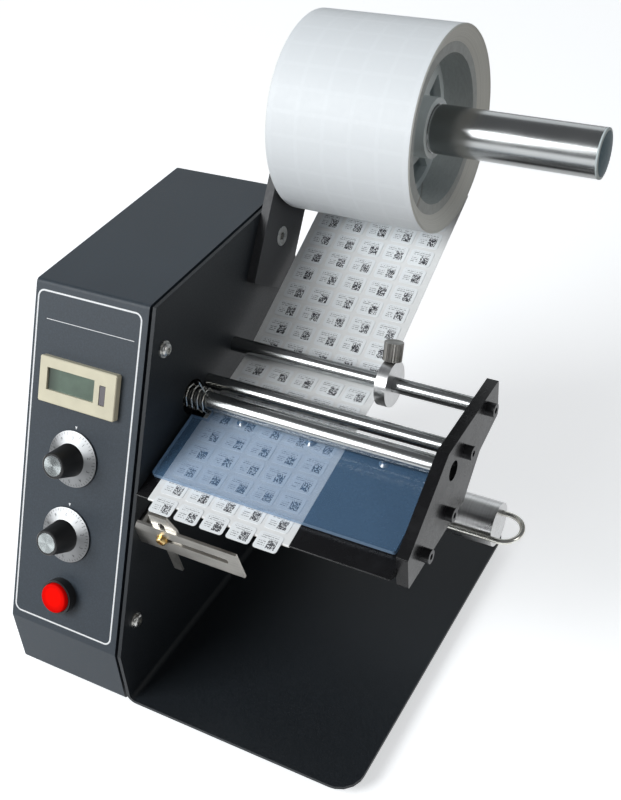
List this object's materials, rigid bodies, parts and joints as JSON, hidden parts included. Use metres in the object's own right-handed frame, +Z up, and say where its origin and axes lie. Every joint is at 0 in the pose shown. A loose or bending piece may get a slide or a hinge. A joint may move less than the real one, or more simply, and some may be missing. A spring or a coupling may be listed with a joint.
{
  "type": "label dispenser machine",
  "caption": "Desk label dispenser with a sheet metal control housing, roll spindle on an arm, peel platform with sprung clear presser and motor-driven liner take-up core.",
  "frame": {"origin": "centre of the footprint at desk level, on the plane of the rubber feet", "axes": "+Z up, +X from the control housing towards the free ends of the spindle and rods, +Y from the peel edge and control panel towards the label roll"},
  "size_m": [0.2406, 0.2812, 0.3013],
  "materials": {
    "powder_coat": "fine texture",
    "black_gloss": "gloss",
    "arm_paint": "satin",
    "rubber": "matte",
    "steel": "polished",
    "zinc": "satin",
    "black_steel": "black oxide",
    "aluminium": "satin",
    "spun_aluminium": "spun",
    "label_paper": "satin",
    "liner_paper": "smooth",
    "cardboard": "matte",
    "white_plastic": "smooth",
    "black_plastic": "satin",
    "cap_plastic": "satin",
    "acrylic": "clear",
    "spring_steel": "bright",
    "cast_zinc": "as cast",
    "bronze": "satin",
    "brass": "polished",
    "belt_rubber": "matte",
    "sheet_steel": "satin",
    "cream_plastic": "satin",
    "display": "smooth",
    "red_lens": "gloss",
    "board": "satin",
    "core_iron": "varnished"
  },
  "bodies": {
    "machine": {"chassis_plate": "powder_coat", "cover": "powder_coat", "feet": "rubber", "cover_screws": "zinc", "roll_arm": "arm_paint", "arm_fasteners": "zinc", "spindle": "steel", "spindle_bolt": "black_steel", "spindle_cap": "cap_plastic", "liner_web": "liner_paper", "labels": "label_paper", "rear_guide_rod": "steel", "middle_guide_rod": "steel", "presser_spring": "spring_steel", "spring_cup": "cast_zinc", "end_plate": "black_gloss", "frame_screws": "black_steel", "peel_platform": "black_gloss", "shaft_bushes": "bronze", "drive_plate": "sheet_steel", "drive_pillars": "zinc", "small_screws": "zinc", "gear_motor": "zinc", "drive_belt": "belt_rubber", "sensor_rail": "sheet_steel", "counter_body": "cream_plastic", "counter_window": "display", "potentiometers": "zinc", "power_switch": "black_plastic", "control_board": "board", "board_standoffs": "zinc", "transformer": "core_iron", "power_inlet": "black_plastic"},
    "roll": {"label_roll": "label_paper", "roll_core": "cardboard", "core_hubs": "white_plastic"},
    "takeup": {"takeup_core": "aluminium", "takeup_shaft": "steel", "takeup_pulley": "aluminium", "liner_windings": "liner_paper"},
    "motor_output": {"motor_pulley": "steel"},
    "clip": {"liner_clip": "spring_steel"},
    "length_control": {"length_dial": "spun_aluminium", "length_knob": "black_plastic", "length_knob_inlay": "spun_aluminium", "length_pot_shaft": "zinc"},
    "speed_control": {"speed_dial": "spun_aluminium", "speed_knob": "black_plastic", "speed_knob_inlay": "spun_aluminium", "speed_pot_shaft": "zinc"},
    "power_key": {"power_button": "red_lens"},
    "reset_key": {"counter_reset": "black_plastic"},
    "presser": {"presser_rod": "steel", "presser_plate": "acrylic", "presser_screws": "zinc"},
    "collar": {"guide_collar": "aluminium"},
    "thumbscrew": {"collar_thumbscrew": "zinc"},
    "sensor": {"sensor_carrier": "sheet_steel", "sensor_eye": "black_plastic", "sensor_screw": "brass"}
  },
  "joints": [
    {"name": "roll_spin", "type": "hinge", "parent": "machine", "child": "roll", "pos_m": [0.00035, 0.08784, 0.24876], "axis": [1, 0, 0], "continuous": true},
    {"name": "takeup_spin", "type": "hinge", "parent": "machine", "child": "takeup", "pos_m": [0.00035, -0.00034, 0.076], "axis": [1, 0, 0], "continuous": true},
    {"name": "motor_pulley_spin", "type": "hinge", "parent": "machine", "child": "motor_output", "pos_m": [-0.05865, -0.05234, 0.064], "axis": [1, 0, 0], "continuous": true},
    {"name": "clip_pull", "type": "slide", "parent": "takeup", "child": "clip", "axis": [1, 0, 0], "range_m": [0, 0.124]},
    {"name": "length_knob_turn", "type": "hinge", "parent": "machine", "child": "length_control", "pos_m": [-0.08805, -0.0991, 0.13147], "axis": [0, -0.9092, 0.4163], "range_deg": [-150, 150]},
    {"name": "speed_knob_turn", "type": "hinge", "parent": "machine", "child": "speed_control", "pos_m": [-0.08805, -0.11654, 0.09338], "axis": [0, -0.9092, 0.4163], "range_deg": [-150, 150]},
    {"name": "power_button_push", "type": "slide", "parent": "machine", "child": "power_key", "axis": [0, 0.9092, -0.4163], "range_m": [0, 0.003], "stiffness_N_per_m": 500, "springref_m": -0.002},
    {"name": "counter_reset_push", "type": "slide", "parent": "machine", "child": "reset_key", "axis": [0, 0.9092, -0.4163], "range_m": [0, 0.0008], "stiffness_N_per_m": 500, "springref_m": -0.001},
    {"name": "presser_lift", "type": "hinge", "parent": "machine", "child": "presser", "pos_m": [0.02285, -0.04534, 0.14624], "axis": [1, 0, 0], "range_deg": [-50, 0], "stiffness_Nm_per_rad": 0.08, "springref_deg": 57.3, "deforming": ["presser_spring"]},
    {"name": "collar_slide", "type": "slide", "parent": "machine", "child": "collar", "axis": [1, 0, 0], "range_m": [-0.001, 0.043]},
    {"name": "thumbscrew_turn", "type": "hinge", "parent": "collar", "child": "thumbscrew", "pos_m": [0.04485, 0.00347, 0.16811], "axis": [0, 0.342, 0.9397], "range_deg": [0, 360]},
    {"name": "sensor_slide", "type": "slide", "parent": "machine", "child": "sensor", "axis": [1, 0, 0], "range_m": [0, 0.0365]}
  ],
  "couplings": [
    {"joint": "takeup_spin", "follows": "roll_spin", "ratio": 3.6483},
    {"joint": "motor_pulley_spin", "follows": "roll_spin", "ratio": 7.2966}
  ]
}
